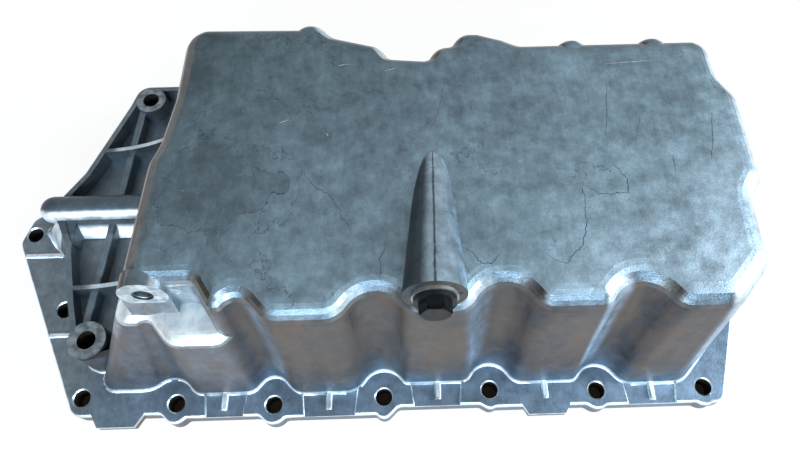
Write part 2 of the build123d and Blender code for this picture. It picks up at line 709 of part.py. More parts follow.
def drain_plug():
    """Screw plug, built on the drain plane with its head outwards."""
    seat = WASHER_THICKNESS
    shank_radius = DRAIN_THREAD / 2 - THREAD_CLEARANCE
    shank = Pos(0, 0, seat - PLUG_SHANK) * upright_cylinder(shank_radius, PLUG_SHANK)
    shank = chamfer(shank.edges().group_by(Axis.Z)[0], PLUG_TIP_CHAMFER)
    collar = Pos(0, 0, seat) * upright_cylinder(PLUG_COLLAR / 2, PLUG_COLLAR_THICKNESS)
    head_foot = seat + PLUG_COLLAR_THICKNESS
    hexagon = extrude(RegularPolygon(PLUG_HEX / 2, 6, major_radius=False), PLUG_HEX_LENGTH)
    corner = PLUG_HEX / sqrt(3)
    turned = upright_cylinder(corner, PLUG_HEX_LENGTH)
    turned = chamfer(turned.edges().group_by(Axis.Z)[-1], PLUG_HEX_CHAMFER)
    head = Pos(0, 0, head_foot) * (hexagon & turned)
    return drain_plane() * (shank + collar + head)


def sealing_washer():
    """Ring between the plug's collar and the boss's machined face."""
    ring = upright_cylinder(WASHER / 2, WASHER_THICKNESS)
    ring -= upright_cylinder(DRAIN_THREAD / 2 + WASHER_CLEARANCE, WASHER_THICKNESS)
    return drain_plane() * ring


def write_parts():
    """Move every part to the pan's own origin and write it."""
    pan = oil_pan()
    middle = pan.bounding_box().center()
    home = Pos(-middle.X, -middle.Y, 0)
    os.makedirs("parts", exist_ok=True)
    parts = {
        "oil_pan": pan,
        "drain_plug": drain_plug(),
        "sealing_washer": sealing_washer(),
    }
    for name, shape in parts.items():
        export_step(home * shape, f"parts/{name}.step")
    print("origin moved by", -middle.X, -middle.Y)


write_parts()
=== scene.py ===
"""Dresses an engine oil pan: stained die-cast casting, blackened drain plug and its washer."""

import json
import logging
import math
import random
from dataclasses import dataclass
from enum import Enum
from typing import Any, Optional, Sequence

import bpy
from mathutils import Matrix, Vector


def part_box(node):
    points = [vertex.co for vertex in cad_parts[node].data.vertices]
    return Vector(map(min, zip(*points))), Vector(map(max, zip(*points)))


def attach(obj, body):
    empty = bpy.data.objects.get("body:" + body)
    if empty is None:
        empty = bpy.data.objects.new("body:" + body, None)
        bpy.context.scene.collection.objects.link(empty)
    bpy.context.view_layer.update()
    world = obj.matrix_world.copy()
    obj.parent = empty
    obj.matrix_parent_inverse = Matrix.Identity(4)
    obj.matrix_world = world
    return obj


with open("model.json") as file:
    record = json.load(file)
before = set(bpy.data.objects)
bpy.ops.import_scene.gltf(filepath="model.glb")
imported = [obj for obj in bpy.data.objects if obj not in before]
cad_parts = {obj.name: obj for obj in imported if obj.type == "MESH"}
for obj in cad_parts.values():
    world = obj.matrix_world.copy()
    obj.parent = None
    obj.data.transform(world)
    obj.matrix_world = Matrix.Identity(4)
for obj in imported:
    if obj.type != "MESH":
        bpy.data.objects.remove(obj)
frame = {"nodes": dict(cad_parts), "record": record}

log = logging.getLogger("oil_pan_scene")

MM = 0.001
LEVEL = 0.99
UPRIGHT = 0.2
SHARP_DEGREES = 28
Colour = tuple[float, float, float, float]
Point = tuple[float, float, float]
Flat = tuple[float, float]


class Skin(Enum):
    """How a face of the casting was left, in the order of its material slots."""

    CAST = 0
    MACHINED = 1
    BORE = 2
    CHAMFER = 3


class Stroke(Enum):
    """What a line on the sump bottom is made of."""

    TIDE_LINE = "tide_line"
    SMEAR = "smear"
    SCRATCH = "scratch"


def linear(hex_colour: str) -> Colour:
    """Turns an sRGB hex colour into the linear values that shaders take.

    Args:
        hex_colour: six hex digits, such as "8a9097".

    Returns:
        Red, green and blue as linear values, and an alpha of 1.
    """
    channels = [int(hex_colour[index:index + 2], 16) / 255 for index in (0, 2, 4)]
    low = [value / 12.92 for value in channels]
    high = [((value + 0.055) / 1.055) ** 2.4 for value in channels]
    mixed = [a if value <= 0.04045 else b for value, a, b in zip(channels, low, high)]
    return mixed[0], mixed[1], mixed[2], 1.0


def per_metre(millimetres: float) -> float:
    """Returns the texture scale at which one pattern feature is this many millimetres."""
    return 1.0 / (millimetres * MM)


class ShaderTree:
    """A material's node tree, with one way to add a node."""

    def __init__(self, name: str) -> None:
        """Starts an empty material.

        Args:
            name: the material's name.
        """
        self.material = bpy.data.materials.new(name)
        self.material.use_nodes = True
        self.tree = self.material.node_tree
        self.tree.nodes.clear()
        self.output = self.tree.nodes.new("ShaderNodeOutputMaterial")

    def add(self, kind: str, settings: Optional[dict[str, Any]] = None, **inputs: Any) -> Any:
        """Adds a node, sets its properties and fills its inputs.

        Args:
            kind: the node's type name.
            settings: properties of the node, such as its operation.
            **inputs: values or sockets by input name, with _ for a space, or iN for input N.

        Returns:
            The node.
        """
        node = self.tree.nodes.new(kind)
        for key, value in (settings or {}).items():
            setattr(node, key, value)
        for key, value in inputs.items():
            if key[0] == "i" and key[1:].isdigit():
                socket = node.inputs[int(key[1:])]
            else:
                socket = node.inputs[key.replace("_", " ")]
            if isinstance(value, bpy.types.NodeSocket):
                self.tree.links.new(value, socket)
            else:
                socket.default_value = value
        return node

    def finish(self, shader: Any) -> bpy.types.Material:
        """Links the shader to the output and returns the material."""
        self.tree.links.new(shader.outputs[0], self.output.inputs["Surface"])
        return self.material


@dataclass(frozen=True)
class StainedCastingWithPaintedLight:
    """Die-cast aluminium, blasted, then stained by oil and handled. The eye sees a dull slate
    skin that is darker where oil has dried, and a grey-blue shelf. Light and shade are also
    painted into the colour: a painted reflection that lightens the sump bottom towards the
    front right, warms the walls and turns them bluish low down; painted highlights on
    right-facing rolls, ledges, flange edges, rib tops and the ridge's front; painted light
    and shade on the flute flanks and the cone's sides; painted shade on left-facing rolls."""

    top_dark: str = "5c6e77"
    # Painted reflection: the sump bottom's slate lightens to this tone towards the front right.
    top_painted_reflection: str = "8ca3b1"
    # Painted reflection: a paler patch on the sump bottom's front right.
    painted_front_reflection: str = "b2c8d7"
    # Partly painted reflection: the walls' warm grey stands in for the floor seen in them.
    wall: str = "5c5a5a"
    # Painted reflection: the walls turn bluish low down, by the flange.
    wall_foot_painted_reflection: str = "687b8b"
    # Painted light and shade on the flute flanks: lighter where they face outward, darker where
    # they face inward.
    flank_painted_light: str = "97abbf"
    flank_painted_shade: str = "494c52"
    flange: str = "74879a"
    wing: str = "7b8993"
    # Painted highlight: a near-white line on the flange's upper edges and the feet of the walls.
    painted_edge_highlight: str = "e2eef6"
    # The rolled edges' tone, bluer than the walls.
    edge_tone: str = "5b6a76"
    # Painted highlight: pale rolls and edges that face right.
    right_roll_painted_highlight: str = "c9d8e2"
    # Painted shade: darker rolls that face left.
    left_roll_painted_shade: str = "4c4843"
    mouth: str = "8496a3"
    mouth_lit: str = "ecf4fa"
    corner: str = "6b7078"
    riser: str = "98a6b0"
    # Painted highlight: near-white ledges at mid height on the front.
    strip: str = "5d5a57"
    ledge_painted_highlight: str = "e9f3fa"
    # Painted shade on the cone's left side, and the dark seam along its ridge.
    cone_shade_and_seam: str = "434f57"
    # Painted light: the cone's paler right side.
    cone_painted_light: str = "9db2c1"
    seam: str = "1e2224"
    shelf: str = "73818b"
    # Painted highlight: paler rolled edges on the shelf.
    shelf_edge_painted_highlight: str = "8ea2b2"
    # Painted highlight: near-white tops of the shelf's ribs.
    rib_top_painted_highlight: str = "d3e3ef"
    ridge: str = "5d6b76"
    # Painted highlight: a near-white band along the ridge's front foot.
    ridge_front_painted_highlight: str = "eaf4fb"
    speck: str = "dfe7ea"
    grit: str = "2c3034"
    oil: str = "3d474e"
    varnish: str = "6d5b4d"
    tide: str = "39454d"
    cloud_mm: float = 60.0
    stain_mm: float = 85.0
    mottle_mm: float = 9.0
    streak_mm: float = 12.0
    grain_mm: float = 0.9
    scuff_mm: float = 3.0
    roughness: float = 0.46
    rubbed_roughness: float = 0.36

    def material(self) -> bpy.types.Material:
        """Builds the casting's material.

        Returns:
            The finished material.
        """
        shade = ShaderTree("blasted_die_cast_aluminium")
        place = shade.add("ShaderNodeTexCoord").outputs["Object"]
        masks = self.masks(shade, place)
        noises = self.noises(shade, place)
        body = self.colour(shade, masks, noises)
        worn = shade.add("ShaderNodeMapRange", Value=masks["rolled"], From_Min=0.0, From_Max=1.0,
                         To_Min=self.roughness, To_Max=self.rubbed_roughness)
        sheen = shade.add("ShaderNodeMapRange", Value=noises["mottle"], From_Min=0.3,
                          From_Max=0.7, To_Min=-0.06, To_Max=0.07)
        shine = shade.add("ShaderNodeMath", {"operation": "ADD"}, i0=worn.outputs[0],
                          i1=sheen.outputs[0])
        dents = shade.add("ShaderNodeBump", Strength=0.35, Distance=0.0006,
                          Height=noises["mottle"])
        relief = shade.add("ShaderNodeBump", Strength=0.35, Distance=0.0003,
                           Height=noises["grain"], Normal=dents.outputs[0])
        metal = shade.add("ShaderNodeBsdfPrincipled", Base_Color=body, Metallic=0.9,
                          Roughness=shine.outputs[0], Normal=relief.outputs[0])
        return shade.finish(metal)

    def masks(self, shade: ShaderTree, place: Any) -> dict[str, Any]:
        """Builds one mask for each zone of the casting.

        Args:
            shade: the material that is being built.
            place: the socket that gives the point on the object.

        Returns:
            Sockets from 0 to 1 by the zone's name.
        """
        surface = shade.add("ShaderNodeNewGeometry")
        facing = shade.add("ShaderNodeSeparateXYZ", Vector=surface.outputs["Normal"]).outputs
        where = shade.add("ShaderNodeSeparateXYZ", Vector=place).outputs
        across = shade.add("ShaderNodeVectorMath", {"operation": "DOT_PRODUCT"}, i0=place,
                           i1=(0.7, -0.75, 0.0)).outputs["Value"]
        outward = shade.add("ShaderNodeMath", {"operation": "MULTIPLY"}, i0=facing["X"],
                            i1=where["X"]).outputs[0]
        steepness = shade.add("ShaderNodeMath", {"operation": "ABSOLUTE"},
                              i0=facing["X"]).outputs[0]
        forward = shade.add("ShaderNodeVectorMath", {"operation": "DOT_PRODUCT"}, i0=place,
                            i1=(0.6, -0.8, 0.0)).outputs["Value"]
        ranges = {
            "flat": (facing["Z"], 0.84, 0.96),
            "not_wall": (facing["Z"], 0.34, 0.74),
            "high": (where["Z"], 0.100, 0.113),
            "above_rim": (where["Z"], 0.066, 0.072),
            "above_flange": (where["Z"], 0.0138, 0.0150),
            "left_end": (where["X"], -0.112, -0.122),
            "wing_side": (where["X"], -0.150, -0.175),
            "behind_bank": (where["Y"], -0.076, -0.068),
            "front_half": (where["Y"], -0.060, -0.066),
            "low": (where["Z"], 0.046, 0.012),
            "painted_reflection_ramp": (across, -0.15, 0.17),
            "front_right": (forward, 0.085, 0.175),
            "leftward": (facing["X"], -0.12, -0.50),
            "rightward": (facing["X"], 0.15, 0.55),
            "sideways": (steepness, 0.0, 0.07),
            "turned": (steepness, 0.10, 0.45),
            "frontward": (facing["Y"], -0.25, -0.50),
            "below_ridge": (where["Z"], 0.0445, 0.0425),
            "left_edge": (where["X"], -0.096, -0.122),
            "left_front": (where["X"], -0.060, -0.072),
            "proud": (where["Z"], 0.1201, 0.1206),
            "above_low_bays": (where["Z"], 0.0092, 0.0096),
            "above_pads": (where["Z"], 0.0123, 0.0126),
            "rib_high": (where["Z"], 0.0384, 0.0394),
            "edge_high": (where["Z"], 0.090, 0.112),
            "right_end": (where["X"], 0.120, 0.140),
            "before_ridge_back": (where["Y"], 0.0245, 0.0225),
            "behind_ridge_front": (where["Y"], -0.0045, -0.0030),
            "outer_flank": (outward, 0.010, 0.055),
            "inner_flank": (outward, -0.010, -0.055),
        }
        masks = {
            name: shade.add("ShaderNodeMapRange", {"interpolation_type": "SMOOTHSTEP"},
                            Value=source, From_Min=low, From_Max=high).outputs[0]
            for name, (source, low, high) in ranges.items()
        }
        for name in ("flat", "high", "above_rim", "above_flange", "sideways"):
            masks["not_" + name] = shade.add("ShaderNodeMath", {"operation": "SUBTRACT"},
                                             i0=1.0, i1=masks[name]).outputs[0]
        masks["wall"] = shade.add("ShaderNodeMath", {"operation": "SUBTRACT"}, i0=1.0,
                                  i1=masks["not_wall"]).outputs[0]
        products = {
            "top": ("flat", "high"),
            "roll": ("not_wall", "not_flat"),
            "rolled": ("roll", "above_rim"),
            "mid_height": ("above_rim", "not_high"),
            "mid_front": ("mid_height", "front_half"),
            "ledge_painted_highlight": ("mid_front", "not_wall"),
            "flange": ("flat", "not_above_flange"),
            "wing": ("flange", "wing_side"),
            "shelf_zone": ("left_end", "behind_bank"),
            "shelf_height": ("shelf_zone", "above_flange"),
            "shelf": ("shelf_height", "not_above_rim"),
            "shelf_edge_painted_highlight": ("shelf", "roll"),
            "foot": ("wall", "low"),
            "left_roll": ("rolled", "leftward"),
            "right_roll": ("rolled", "rightward"),
            "painted_front_reflection": ("top", "front_right"),
            "mouth": ("rolled", "turned"),
            "left_strip": ("top", "left_edge"),
            "corner_place": ("left_front", "front_half"),
            "corner": ("corner_place", "wall"),
            "corner_high": ("corner", "above_rim"),
            "riser": ("corner_high", "behind_bank"),
            "right_high": ("edge_high", "right_end"),
            "right_edge": ("right_high", "rightward"),
            "mouth_lit": ("rolled", "outer_flank"),
            "cone": ("proud", "high"),
            "cone_left": ("cone", "leftward"),
            "cone_ridge": ("cone", "not_sideways"),
            "above_bays": ("above_low_bays", "not_above_flange"),
            "painted_edge_highlight": ("above_bays", "not_flat"),
            "painted_step_highlight": ("above_pads", "not_above_flange"),
            "rib_facing": ("shelf", "not_wall"),
            "rib_top_painted_highlight": ("rib_facing", "rib_high"),
            "ridge_depth": ("before_ridge_back", "behind_ridge_front"),
            "ridge": ("ridge_depth", "shelf"),
            "ridge_lower": ("ridge", "below_ridge"),
            "ridge_front_painted_highlight": ("ridge_lower", "frontward"),
            "lit_flank": ("wall", "outer_flank"),
            "shaded_flank": ("wall", "inner_flank"),
        }
        for name, (first, second) in products.items():
            masks[name] = shade.add("ShaderNodeMath", {"operation": "MULTIPLY"},
                                    i0=masks[first], i1=masks[second]).outputs[0]
        return masks

    def noises(self, shade: ShaderTree, place: Any) -> dict[str, Any]:
        """Builds the patterns that break up the skin.

        Args:
            shade: the material that is being built.
            place: the socket that gives the point on the object.

        Returns:
            Noise sockets by name.
        """
        upright = shade.add("ShaderNodeMapping", Vector=place, Scale=(1.0, 1.0, 0.3)).outputs[0]
        slanted = shade.add("ShaderNodeMapping", Vector=place, Rotation=(0.0, 0.0, 1.0),
                            Scale=(1.0, 0.3, 1.0)).outputs[0]
        patterns = {
            "scuffs": (slanted, self.scuff_mm, 6.0, 0.70),
            "clouds": (place, self.cloud_mm, 5.0, 0.62),
            "stain": (place, self.stain_mm, 7.0, 0.60),
            "mottle": (place, self.mottle_mm, 5.0, 0.66),
            "streaks": (upright, self.streak_mm, 5.0, 0.62),
            "grain": (place, self.grain_mm, 2.0, 0.60),
            "dust": (place, self.grain_mm * 1.9, 3.0, 0.75),
        }
        return {
            name: shade.add("ShaderNodeTexNoise", Vector=vector, Scale=per_metre(size),
                            Detail=detail, Roughness=rough).outputs["Fac"]
            for name, (vector, size, detail, rough) in patterns.items()
        }

    def colour(self, shade: ShaderTree, masks: dict[str, Any], noises: dict[str, Any]) -> Any:
        """Lays the zones' colours over each other, painted highlights, reflections and shade among
        them, then the stains and the dust.

        Args:
            shade: the material that is being built.
            masks: sockets by zone.
            noises: sockets by pattern.

        Returns:
            The colour socket.
        """
        # Painted reflection: this ramp lightens the top towards the front right.
        top = shade.add("ShaderNodeMix", {"data_type": "RGBA"}, Factor=masks["painted_reflection_ramp"],
                        i6=linear(self.top_dark), i7=linear(self.top_painted_reflection)).outputs[2]
        # The wall tone is partly painted reflection of the floor.
        body = linear(self.wall)
        zones = [
            # Painted light and shade on the flute flanks.
            ("lit_flank", linear(self.flank_painted_light)),
            ("shaded_flank", linear(self.flank_painted_shade)),
            # Painted reflection, bluish low on the walls.
            ("foot", linear(self.wall_foot_painted_reflection)),
            ("corner", linear(self.corner)),
            ("riser", linear(self.riser)),
            ("rolled", linear(self.edge_tone)),
            ("mouth", linear(self.mouth)),
            ("mouth_lit", linear(self.mouth_lit)),
            # Painted highlight on right-facing rolls and edges.
            ("right_roll", linear(self.right_roll_painted_highlight)),
            ("right_edge", linear(self.right_roll_painted_highlight)),
            # Painted shade on left-facing rolls.
            ("left_roll", linear(self.left_roll_painted_shade)),
            ("flange", linear(self.flange)),
            ("wing", linear(self.wing)),
            # Painted highlight along the flange edges, the feet of the walls and the pad steps.
            ("painted_edge_highlight", linear(self.painted_edge_highlight)),
            ("painted_step_highlight", linear(self.painted_edge_highlight)),
            ("top", top),
            # Painted reflection on the top's front right.
            ("painted_front_reflection", linear(self.painted_front_reflection)),
            ("left_strip", linear(self.strip)),
            # Painted light and shade on the cone's sides; the ridge carries the dark seam.
            ("cone", linear(self.cone_painted_light)),
            ("cone_left", linear(self.cone_shade_and_seam)),
            ("cone_ridge", linear(self.cone_shade_and_seam)),
            # Painted highlight on the front ledges.
            ("ledge_painted_highlight", linear(self.ledge_painted_highlight)),
            ("shelf", linear(self.shelf)),
            # Painted highlight on the shelf's rolled edges.
            ("shelf_edge_painted_highlight", linear(self.shelf_edge_painted_highlight)),
            # Painted highlight on the ribs' tops.
            ("rib_top_painted_highlight", linear(self.rib_top_painted_highlight)),
            ("ridge", linear(self.ridge)),
            # Painted highlight along the ridge's front.
            ("ridge_front_painted_highlight", linear(self.ridge_front_painted_highlight)),
        ]
        for name, tint in zones:
            body = shade.add("ShaderNodeMix", {"data_type": "RGBA"}, Factor=masks[name],
                             i6=body, i7=tint).outputs[2]
        body = self.weathered(shade, body, noises)
        return self.stained(shade, body, masks, noises)

    def weathered(self, shade: ShaderTree, body: Any, noises: dict[str, Any]) -> Any:
        """Varies the colour by clouds, mottle and upright streaks.

        Args:
            shade: the material that is being built.
            body: the colour so far.
            noises: sockets by pattern.

        Returns:
            The varied colour socket.
        """
        spreads = {"clouds": 0.20, "mottle": 0.24, "streaks": 0.12, "scuffs": 0.12}
        for name, spread in spreads.items():
            level = shade.add("ShaderNodeMapRange", Value=noises[name], From_Min=0.3,
                              From_Max=0.7, To_Min=1.0 - spread, To_Max=1.0 + spread)
            body = shade.add("ShaderNodeVectorMath", {"operation": "SCALE"}, i0=body,
                             Scale=level.outputs[0]).outputs[0]
        return body

    def stained(self, shade: ShaderTree, body: Any, masks: dict[str, Any],
                noises: dict[str, Any]) -> Any:
        """Adds dried oil with its tide lines on the flats, then specks of dust and grit.

        Args:
            shade: the material that is being built.
            body: the colour so far.
            masks: sockets by zone.
            noises: sockets by pattern.

        Returns:
            The finished colour socket.
        """
        films = [("stain", 0.545, 0.555, self.oil, 0.22, masks["top"]),
                 ("clouds", 0.40, 0.36, self.oil, 0.18, masks["top"]),
                 ("streaks", 0.47, 0.60, self.varnish, 0.45, masks["wall"]),
                 ("mottle", 0.60, 0.66, self.seam, 0.9, masks["cone_ridge"])]
        coats = [(shade.add("ShaderNodeMapRange", Value=noises[name], From_Min=low, From_Max=high,
                            To_Max=most).outputs[0], tint, zone)
                 for name, low, high, tint, most, zone in films]
        for level, width, most in ((0.545, 0.0030, 0.7), (0.462, 0.0022, 0.5)):
            away = shade.add("ShaderNodeMath", {"operation": "COMPARE"}, i0=noises["stain"],
                             i1=level, i2=width).outputs[0]
            patchy = shade.add("ShaderNodeMapRange", Value=noises["clouds"], From_Min=0.44,
                               From_Max=0.58, To_Max=most).outputs[0]
            line = shade.add("ShaderNodeMath", {"operation": "MULTIPLY"}, i0=away, i1=patchy)
            coats.append((line.outputs[0], self.tide, masks["top"]))
        specks = ((0.70, 0.73, self.speck, 0.5), (0.36, 0.30, self.grit, 0.4))
        for low, high, tint, most in specks:
            spots = shade.add("ShaderNodeMapRange", Value=noises["dust"], From_Min=low,
                              From_Max=high, To_Max=most)
            coats.append((spots.outputs[0], tint, masks["not_wall"]))
        for amount, tint, zone in coats:
            share = shade.add("ShaderNodeMath", {"operation": "MULTIPLY"}, i0=amount, i1=zone)
            body = shade.add("ShaderNodeMix", {"data_type": "RGBA"}, Factor=share.outputs[0],
                             i6=body, i7=linear(tint)).outputs[2]
        return body


@dataclass(frozen=True)
class FacedAluminium:
    """Cast aluminium faced by a cutter: paler than the skin round it, with fine turning
    rings that a dull film half hides."""

    pale: str = "9eabb4"
    film: str = "6a767e"
    ring_mm: float = 0.5

    def material(self) -> bpy.types.Material:
        """Builds the material of the machined faces."""
        shade = ShaderTree("faced_aluminium")
        place = shade.add("ShaderNodeTexCoord").outputs["Object"]
        film = shade.add("ShaderNodeTexNoise", Vector=place, Scale=per_metre(4.0), Detail=4.0)
        amount = shade.add("ShaderNodeMapRange", Value=film.outputs["Fac"], From_Min=0.38,
                           From_Max=0.62)
        colour = shade.add("ShaderNodeMix", {"data_type": "RGBA"}, Factor=amount.outputs[0],
                           i6=linear(self.pale), i7=linear(self.film))
        grain = shade.add("ShaderNodeTexNoise", Vector=place, Scale=per_metre(self.ring_mm),
                          Detail=2.0)
        relief = shade.add("ShaderNodeBump", Strength=0.2, Distance=0.0001,
                           Height=grain.outputs["Fac"])
        metal = shade.add("ShaderNodeBsdfPrincipled", Base_Color=colour.outputs[2], Metallic=0.9,
                          Roughness=0.36, Normal=relief.outputs[0])
        return shade.finish(metal)


@dataclass(frozen=True)
class BoreInPaintedShade:
    """Drilled aluminium, dark brown: painted shade deep inside the holes, with a faint gleam."""

    dark: str = "1d1a17"
    brown: str = "4a443e"

    def material(self) -> bpy.types.Material:
        """Builds the material of the holes' walls."""
        shade = ShaderTree("drilled_aluminium_in_painted_shade")
        place = shade.add("ShaderNodeTexCoord").outputs["Object"]
        film = shade.add("ShaderNodeTexNoise", Vector=place, Scale=per_metre(2.5), Detail=4.0)
        colour = shade.add("ShaderNodeMix", {"data_type": "RGBA"}, Factor=film.outputs["Fac"],
                           i6=linear(self.dark), i7=linear(self.brown))
        metal = shade.add("ShaderNodeBsdfPrincipled", Base_Color=colour.outputs[2], Metallic=0.6,
                          Roughness=0.42)
        return shade.finish(metal)


@dataclass(frozen=True)
class Deposit:
    """A film on the metal: dried oil, a smear or a fresh scratch, each in its own tone."""

    name: str
    colour: str
    patch: str
    metallic: float
    roughness: float
    patch_mm: float = 2.0

    def material(self) -> bpy.types.Material:
        """Builds the deposit's material."""
        shade = ShaderTree(self.name)
        place = shade.add("ShaderNodeTexCoord").outputs["Object"]
        broken = shade.add("ShaderNodeTexNoise", Vector=place, Scale=per_metre(self.patch_mm),
                           Detail=4.0, Roughness=0.7)
        amount = shade.add("ShaderNodeMapRange", Value=broken.outputs["Fac"], From_Min=0.42,
                           From_Max=0.58)
        colour = shade.add("ShaderNodeMix", {"data_type": "RGBA"}, Factor=amount.outputs[0],
                           i6=linear(self.colour), i7=linear(self.patch))
        film = shade.add("ShaderNodeBsdfPrincipled", Base_Color=colour.outputs[2],
                         Metallic=self.metallic, Roughness=self.roughness)
        return shade.finish(film)


@dataclass(frozen=True)
class BlackenedSteel:
    """Phosphated black steel: near-black and satin, with brown dust and worn pale edges."""

    dark: str = "060708"
    dust: str = "1f1c19"
    worn: str = "3c4347"

    def material(self) -> bpy.types.Material:
        """Builds the drain plug's material."""
        shade = ShaderTree("blackened_steel")
        place = shade.add("ShaderNodeTexCoord").outputs["Object"]
        dusting = shade.add("ShaderNodeTexNoise", Vector=place, Scale=per_metre(2.2), Detail=5.0)
        amount = shade.add("ShaderNodeMapRange", Value=dusting.outputs["Fac"], From_Min=0.5,
                           From_Max=0.75, To_Max=0.6)
        colour = shade.add("ShaderNodeMix", {"data_type": "RGBA"}, Factor=amount.outputs[0],
                           i6=linear(self.dark), i7=linear(self.dust))
        surface = shade.add("ShaderNodeNewGeometry")
        edges = shade.add("ShaderNodeMapRange", Value=surface.outputs["Pointiness"],
                          From_Min=0.53, From_Max=0.60, To_Max=0.6)
        edge_tone = shade.add("ShaderNodeMix", {"data_type": "RGBA"}, Factor=edges.outputs[0],
                           i6=colour.outputs[2], i7=linear(self.worn))
        grain = shade.add("ShaderNodeTexNoise", Vector=place, Scale=per_metre(0.7), Detail=2.0)
        relief = shade.add("ShaderNodeBump", Strength=0.3, Distance=0.0002,
                           Height=grain.outputs["Fac"])
        metal = shade.add("ShaderNodeBsdfPrincipled", Base_Color=edge_tone.outputs[2], Metallic=0.9,
                          Roughness=0.45, Normal=relief.outputs[0])
        return shade.finish(metal)


@dataclass(frozen=True)
class TurnedWasher:
    """Soft aluminium ring, turned: pale and dull, with fine scuffs."""

    pale: str = "b3b5b3"
    scuffed: str = "7d7d7a"

    def material(self) -> bpy.types.Material:
        """Builds the washer's material."""
        shade = ShaderTree("turned_washer_aluminium")
        place = shade.add("ShaderNodeTexCoord").outputs["Object"]
        scuffs = shade.add("ShaderNodeTexNoise", Vector=place, Scale=per_metre(1.5), Detail=4.0)
        colour = shade.add("ShaderNodeMix", {"data_type": "RGBA"}, Factor=scuffs.outputs["Fac"],
                           i6=linear(self.pale), i7=linear(self.scuffed))
        metal = shade.add("ShaderNodeBsdfPrincipled", Base_Color=colour.outputs[2], Metallic=0.9,
                          Roughness=0.42)
        return shade.finish(metal)


def dress(node: str, *materials: bpy.types.Material) -> bpy.types.Mesh:
    """Gives a CAD node its materials and smooth shading.

    Args:
        node: the node's name.
        *materials: its finishes, in the order of the slots.

    Returns:
        The node's mesh.
    """
    mesh = frame["nodes"][node].data
    mesh.materials.clear()
    for material in materials:
        mesh.materials.append(material)
    mesh.shade_smooth()
    mesh.set_sharp_from_angle(angle=math.radians(SHARP_DEGREES))
    log.info("dressed %s", node)
    return mesh


def new_piece(name: str, points: Sequence[Any], faces: Sequence[Any],
              material: bpy.types.Material) -> bpy.types.Object:
    """Makes a piece of the pan's casting from points in the row frame.

    Args:
        name: the piece's name.
        points: its vertices, in metres.
        faces: vertex numbers of each face.
        material: its finish.

    Returns:
        The piece, which rides on the pan.
    """
    mesh = bpy.data.meshes.new(name)
    mesh.from_pydata([tuple(point) for point in points], [], [tuple(face) for face in faces])
    mesh.materials.append(material)
    mesh.shade_smooth()
    piece = bpy.data.objects.new(name, mesh)
    bpy.context.scene.collection.objects.link(piece)
    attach(piece, "pan")
    log.info("built %s, %d faces", name, len(faces))
    return piece


@dataclass
class Casting:
    """The oil pan's own skin: which of its faces were cut, and which are inside a hole."""

    hole_reach_mm: float = 5.7
    boss_top_mm: float = 39.0
    port_reach_mm: float = 12.0
    port_radius_mm: float = 5.6
    port_face_reach_mm: float = 16.8
    near_mm: float = 0.2
    chamfer_pale: str = "dfe8ee"
    chamfer_film: str = "9fb0bc"

    def holes(self) -> list[Flat]:
        """Returns the middle of each upright bolt hole, in metres."""
        middles = []
        for mount in frame["record"]["mounts"]:
            x, y, _ = mount["pos_m"]
            if mount["kind"] == "bore":
                middles.append((x, y))
            elif mount["kind"] == "bolt_pattern":
                half = mount["dims"]["spacing_x_mm"] * MM / 2
                middles += [(x - half, y), (x + half, y)]
        return middles

    def port(self) -> tuple[Vector, Vector]:
        """Returns the middle of the side port's thread and the way that it looks."""
        mount = next(m for m in frame["record"]["mounts"] if m["name"] == "side_port")
        return Vector(mount["pos_m"]), Vector(mount["axis"]).normalized()

    def skin_of(self, middle: Vector, normal: Vector, holes: Sequence[Flat]) -> Skin:
        """Tells how one face was left.

        Args:
            middle: the face's middle, in metres.
            normal: its unit normal.
            holes: the middle of each upright hole.

        Returns:
            The face's skin.
        """
        port, port_axis = self.port()
        near = self.near_mm * MM
        if normal.z > LEVEL and abs(middle.z - self.boss_top_mm * MM) < near:
            return Skin.MACHINED
        if normal.z < -LEVEL and middle.z < near:
            return Skin.MACHINED
        offset = middle - port
        facing = normal.dot(port_axis)
        if facing > 0.995 and offset.length < self.port_face_reach_mm * MM:
            return Skin.CHAMFER
        along = offset.dot(port_axis)
        aside = (offset - port_axis * along).length
        in_port = aside < self.port_radius_mm * MM and abs(along) < self.port_reach_mm * MM
        if abs(facing) < UPRIGHT and in_port:
            return Skin.BORE
        reach = self.hole_reach_mm * MM
        if any(math.hypot(middle.x - x, middle.y - y) < reach for x, y in holes):
            if abs(normal.z) < UPRIGHT:
                return Skin.BORE
            if UPRIGHT < normal.z < 0.95:
                return Skin.CHAMFER
        return Skin.CAST

    def build(self, cast: bpy.types.Material) -> None:
        """Dresses the casting, face by face.

        Args:
            cast: the finish of its skin.
        """
        chamfer = FacedAluminium(pale=self.chamfer_pale, film=self.chamfer_film).material()
        mesh = dress("oil_pan", cast, FacedAluminium().material(), BoreInPaintedShade().material(), chamfer)
        holes = self.holes()
        for face in mesh.polygons:
            face.material_index = self.skin_of(face.center, face.normal, holes).value


